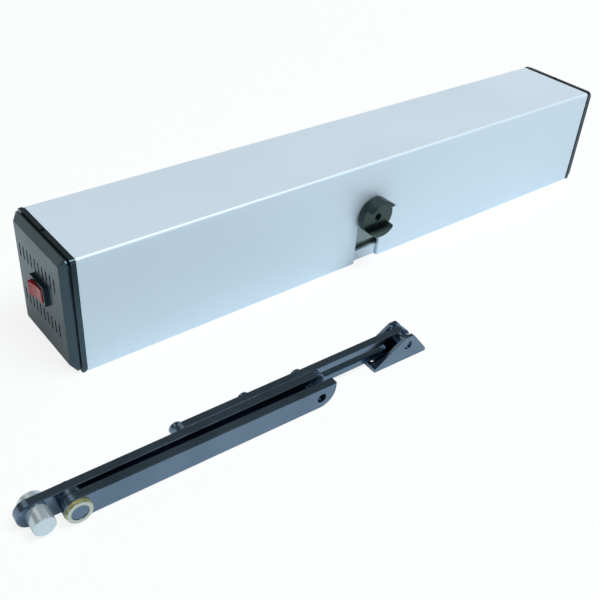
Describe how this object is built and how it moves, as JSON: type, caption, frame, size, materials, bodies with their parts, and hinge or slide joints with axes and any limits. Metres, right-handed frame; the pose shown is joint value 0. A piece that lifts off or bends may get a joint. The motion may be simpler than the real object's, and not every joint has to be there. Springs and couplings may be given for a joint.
{
  "type": "electric door closer",
  "caption": "Long boxed electric swing-door closer with a driven spindle on its front and a folding adjustable link arm lying beside it.",
  "frame": {"origin": "middle of the back plate's wall face", "axes": "+X along the housing, away from the rocker switch; +Y away from the spindle's side; +Z out from the wall face, up from the table that it lies on"},
  "size_m": [0.598, 0.1878, 0.0865],
  "materials": {
    "aluminium_satin": "satin anodised",
    "black_plastic": "fine moulded texture",
    "red_plastic": "smooth, slightly clear",
    "black_paint": "semi-gloss powder coat",
    "turned_steel": "turned bright",
    "steel": "zinc plated",
    "yellow_zinc": "yellow passivated",
    "cast_alloy": "as cast",
    "bronze": "sintered",
    "gear_steel": "machined, oiled",
    "copper": "enamelled wire",
    "board": "solder-masked",
    "terminal_plastic": "moulded",
    "rubber": "matt",
    "relay_plastic": "smooth",
    "iron": "laminated"
  },
  "bodies": {
    "housing": {"cover": "aluminium_satin", "base_rail": "aluminium_satin", "cable_grommet": "rubber", "left_end_frame": "black_plastic", "right_end_frame": "black_plastic", "left_end_cap": "black_plastic", "right_end_cap": "black_plastic", "end_screws": "steel", "switch_bezel": "black_plastic", "switch_terminals": "bronze", "gearbox_case": "cast_alloy", "gearbox_back_plate": "cast_alloy", "gearbox_screws": "steel", "lug_screws": "steel", "track_nuts": "steel", "spindle_bearings": "steel", "gear_bushes": "bronze", "motor_plate": "cast_alloy", "motor_can": "steel", "motor_bearings": "steel", "motor_stator": "iron", "motor_coils": "copper", "control_board": "board", "mains_board": "board", "board_standoffs": "bronze", "board_screws": "steel", "terminal_blocks": "terminal_plastic", "capacitors": "relay_plastic", "heat_sink": "aluminium_satin", "relays": "relay_plastic", "transformer_coil": "copper", "transformer_pad": "rubber", "transformer_dish": "steel", "transformer_bolt": "steel", "shoe_bracket": "black_paint", "shoe_pin": "steel", "shoe_spacers": "black_paint"},
    "rotor": {"motor_shaft": "gear_steel", "motor_rotor": "iron"},
    "first_shaft": {"first_pinion_shaft": "gear_steel", "first_gear": "bronze"},
    "second_shaft": {"second_pinion_shaft": "gear_steel", "second_gear": "gear_steel"},
    "output": {"spindle": "gear_steel", "output_key": "steel", "spindle_circlip": "steel", "coupling": "black_paint", "output_gear": "gear_steel"},
    "rocker_lever": {"rocker": "red_plastic"},
    "adjusting_rail": {"slotted_rail": "black_paint"},
    "link": {"link_bar": "black_paint", "clamp_bolts": "black_paint", "elbow_pin": "black_paint", "elbow_spacer": "black_paint", "stop_pin": "turned_steel", "stop_nut": "turned_steel"},
    "drive_arm": {"main_bar": "black_paint", "elbow_bush": "yellow_zinc", "elbow_ring": "turned_steel"}
  },
  "joints": [
    {"name": "spindle_turn", "type": "hinge", "parent": "housing", "child": "output", "pos_m": [-0.0087, 0, 0.0432], "axis": [0, 1, 0], "range_deg": [-100, 100]},
    {"name": "second_shaft_turn", "type": "hinge", "parent": "housing", "child": "second_shaft", "pos_m": [0.0273, 0, 0.0432], "axis": [0, 1, 0], "range_deg": [-300, 300]},
    {"name": "first_shaft_turn", "type": "hinge", "parent": "housing", "child": "first_shaft", "pos_m": [0.0573, 0, 0.0432], "axis": [0, 1, 0], "range_deg": [-1200, 1200]},
    {"name": "rotor_turn", "type": "hinge", "parent": "housing", "child": "rotor", "pos_m": [0.0861, 0, 0.0432], "axis": [0, 1, 0], "range_deg": [-6000, 6000]},
    {"name": "rocker_tilt", "type": "hinge", "parent": "housing", "child": "rocker_lever", "pos_m": [-0.2598, 0, 0.0465], "axis": [0, 0, -1], "range_deg": [0, 20]},
    {"name": "foot_pivot", "type": "hinge", "parent": "housing", "child": "adjusting_rail", "pos_m": [-0.06766, -0.13503, 0.0118], "axis": [0.0419, 0.9991, 0], "range_deg": [0, 150]},
    {"name": "arm_length", "type": "slide", "parent": "adjusting_rail", "child": "link", "axis": [0.999, -0.0419, 0.0143], "range_m": [0, 0.036]},
    {"name": "elbow", "type": "hinge", "parent": "link", "child": "drive_arm", "pos_m": [-0.30847, -0.1379, 0.00835], "axis": [-0.0419, -0.9991, 0], "range_deg": [0, 129]}
  ],
  "couplings": [
    {"joint": "second_shaft_turn", "follows": "spindle_turn", "ratio": -3},
    {"joint": "first_shaft_turn", "follows": "spindle_turn", "ratio": 12},
    {"joint": "rotor_turn", "follows": "spindle_turn", "ratio": -60}
  ]
}
